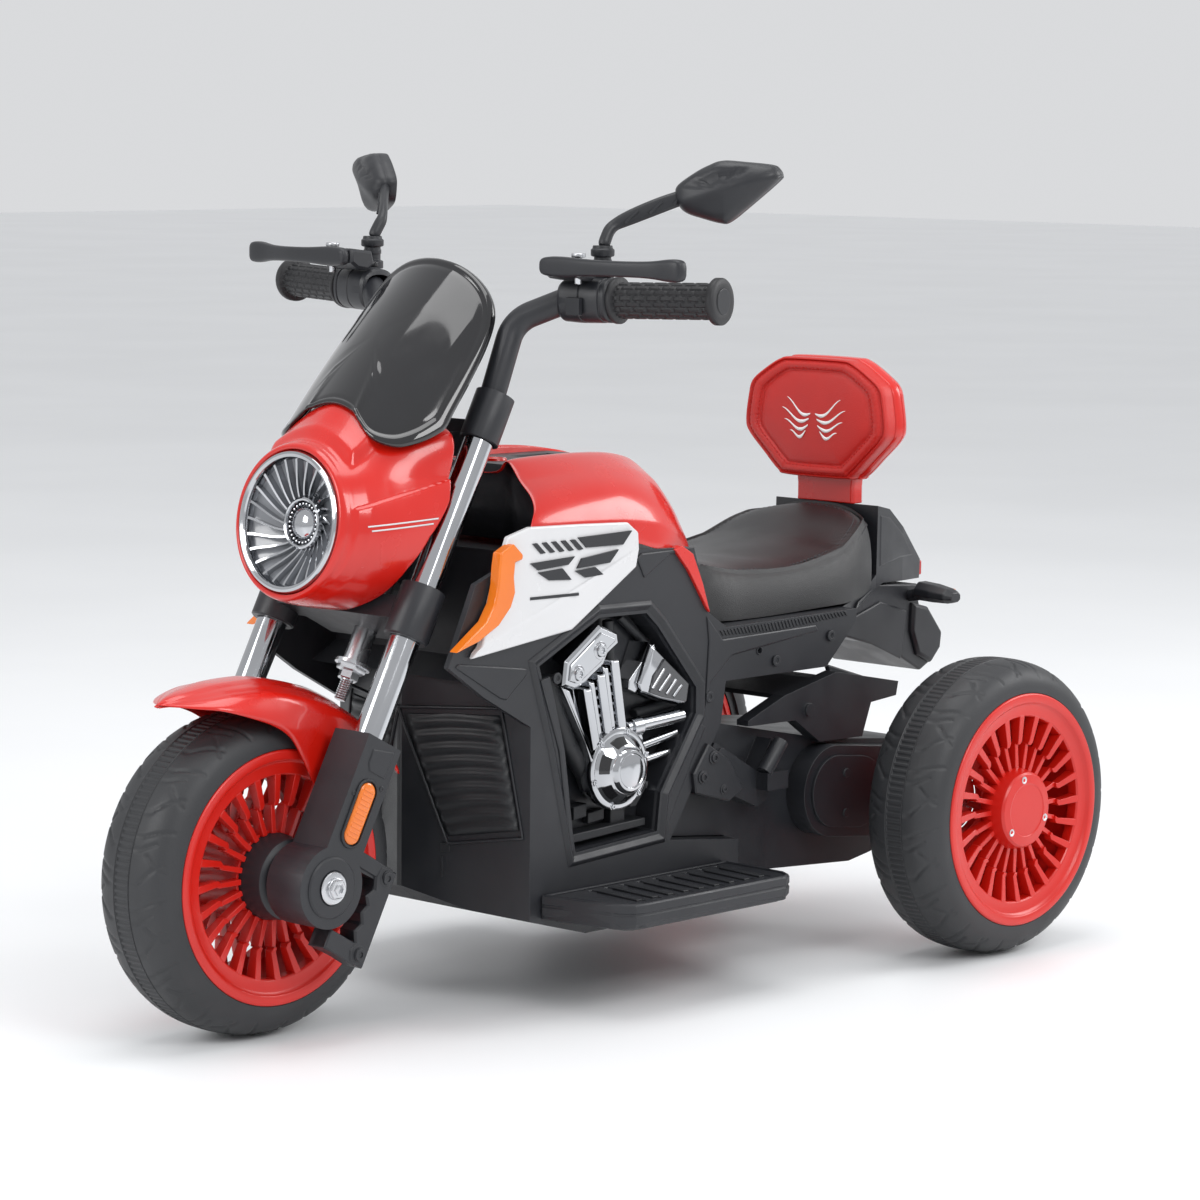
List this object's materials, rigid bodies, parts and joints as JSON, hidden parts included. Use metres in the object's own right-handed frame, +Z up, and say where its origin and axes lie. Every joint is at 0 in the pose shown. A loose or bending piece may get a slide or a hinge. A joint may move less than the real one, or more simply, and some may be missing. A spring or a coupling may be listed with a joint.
{
  "type": "ride-on electric motorcycle",
  "caption": "Child's ride-on electric motorcycle with one steered front wheel, two rear wheels, a round headlamp, side footrests, a long saddle and a padded backrest.",
  "frame": {"origin": "on the ground, midway between the front and rear axles, in the vehicle's centre plane", "axes": "+X forward, +Y to the rider's left, +Z up"},
  "size_m": [0.9772, 0.5424, 0.721],
  "materials": {
    "red_plastic": "moulded gloss red plastic",
    "black_plastic": "satin moulded black plastic",
    "gloss_black": "polished black plastic",
    "white_plastic": "gloss white plastic",
    "amber_lens": "ribbed amber lens plastic",
    "smoked_lens": "dark smoked lens plastic",
    "red_lens": "red lens plastic",
    "clear_lens": "clear lamp lens",
    "chrome_plating": "bright vacuum plating on plastic",
    "steel": "zinc plated steel",
    "tyre_plastic": "blow-moulded dark grey tyre",
    "grip_rubber": "soft black grip",
    "seat_leather": "black leatherette with a stitched seam",
    "backrest_leather": "red leatherette with double seams",
    "mirror_glass": "mirror foil",
    "battery_case": "grey battery case",
    "circuit_board": "green circuit board"
  },
  "bodies": {
    "chassis": {"air_boxes": "chrome_plating", "backrest_pad": "backrest_leather", "backrest_shell": "red_plastic", "battery": "battery_case", "body_screws": "black_plastic", "body_shell_left": "black_plastic", "body_shell_right": "black_plastic", "charge_socket": "black_plastic", "control_board": "circuit_board", "drive_motors": "steel", "engine_cover_left": "chrome_plating", "engine_cover_right": "chrome_plating", "footrest_left": "black_plastic", "footrest_right": "black_plastic", "gearboxes": "black_plastic", "rear_arms": "black_plastic", "rear_axle": "steel", "rear_frame": "black_plastic", "rear_turn_signals": "smoked_lens", "seat_cushion": "seat_leather", "side_lights": "amber_lens", "side_panels": "white_plastic", "steering_bush": "black_plastic", "tail_cowl": "black_plastic", "tail_light": "red_lens", "tail_mudguard": "black_plastic", "tank_cover": "red_plastic", "tank_top_panel": "black_plastic"},
    "steering": {"steering_stem": "steel", "fork_tubes": "chrome_plating", "fork_leg_left": "black_plastic", "fork_leg_right": "black_plastic", "fork_reflectors": "amber_lens", "front_axle": "steel", "lower_clamp": "black_plastic", "upper_clamp": "black_plastic", "handlebars": "black_plastic", "grips": "grip_rubber", "switch_housings": "black_plastic", "lever_pins": "steel", "front_fender": "red_plastic", "headlight_pod": "red_plastic", "headlight_bezel": "chrome_plating", "headlight_lens": "clear_lens", "windshield": "gloss_black"},
    "front_wheel": {"front_tyre": "tyre_plastic", "front_rim": "red_plastic"},
    "rear_wheel_left": {"rear_tyre_left": "tyre_plastic", "rear_rim_left": "red_plastic"},
    "rear_wheel_right": {"rear_tyre_right": "tyre_plastic", "rear_rim_right": "red_plastic"},
    "left_lever": {"brake_lever_left": "black_plastic"},
    "right_lever": {"brake_lever_right": "black_plastic"},
    "left_mirror": {"mirror_left": "black_plastic", "mirror_glass_left": "mirror_glass"},
    "right_mirror": {"mirror_right": "black_plastic", "mirror_glass_right": "mirror_glass"},
    "horn": {"horn_button": "black_plastic"},
    "power": {"power_button": "red_lens"},
    "pedal": {"throttle_pedal": "black_plastic"}
  },
  "joints": [
    {"name": "steering_turn", "type": "hinge", "parent": "chassis", "child": "steering", "pos_m": [0.18248, 0, 0.39523], "axis": [-0.4664, 0, 0.8846], "range_deg": [-25, 25]},
    {"name": "front_wheel_spin", "type": "hinge", "parent": "steering", "child": "front_wheel", "pos_m": [0.3536, 0, 0.135], "axis": [0, 1, 0], "continuous": true},
    {"name": "rear_wheel_left_spin", "type": "hinge", "parent": "chassis", "child": "rear_wheel_left", "pos_m": [-0.3536, 0.219, 0.135], "axis": [0, 1, 0], "continuous": true},
    {"name": "rear_wheel_right_spin", "type": "hinge", "parent": "chassis", "child": "rear_wheel_right", "pos_m": [-0.3536, -0.219, 0.135], "axis": [0, 1, 0], "continuous": true},
    {"name": "brake_lever_left_pull", "type": "hinge", "parent": "steering", "child": "left_lever", "pos_m": [0.12, 0.15, 0.636], "axis": [0, 0, 1], "range_deg": [0, 12], "stiffness_Nm_per_rad": 0.6, "springref_deg": -11.46},
    {"name": "brake_lever_right_pull", "type": "hinge", "parent": "steering", "child": "right_lever", "pos_m": [0.12, -0.15, 0.636], "axis": [0, 0, -1], "range_deg": [0, 12], "stiffness_Nm_per_rad": 0.6, "springref_deg": -11.46},
    {"name": "mirror_left_swivel", "type": "hinge", "parent": "steering", "child": "left_mirror", "pos_m": [0.081, 0.141, 0.644], "axis": [0, 0, 1], "range_deg": [-30, 20]},
    {"name": "mirror_right_swivel", "type": "hinge", "parent": "steering", "child": "right_mirror", "pos_m": [0.081, -0.141, 0.644], "axis": [0, 0, -1], "range_deg": [-30, 20]},
    {"name": "horn_press", "type": "slide", "parent": "steering", "child": "horn", "axis": [-1, 0, 0], "range_m": [0, 0.0015], "stiffness_N_per_m": 300, "springref_m": -0.001},
    {"name": "power_press", "type": "slide", "parent": "chassis", "child": "power", "axis": [0, 0, -1], "range_m": [0, 0.002], "stiffness_N_per_m": 300, "springref_m": -0.001},
    {"name": "pedal_press", "type": "hinge", "parent": "chassis", "child": "pedal", "pos_m": [0.014, -0.165, 0.106], "axis": [0, 1, 0], "range_deg": [0, 8], "stiffness_Nm_per_rad": 3, "springref_deg": -5.73}
  ]
}
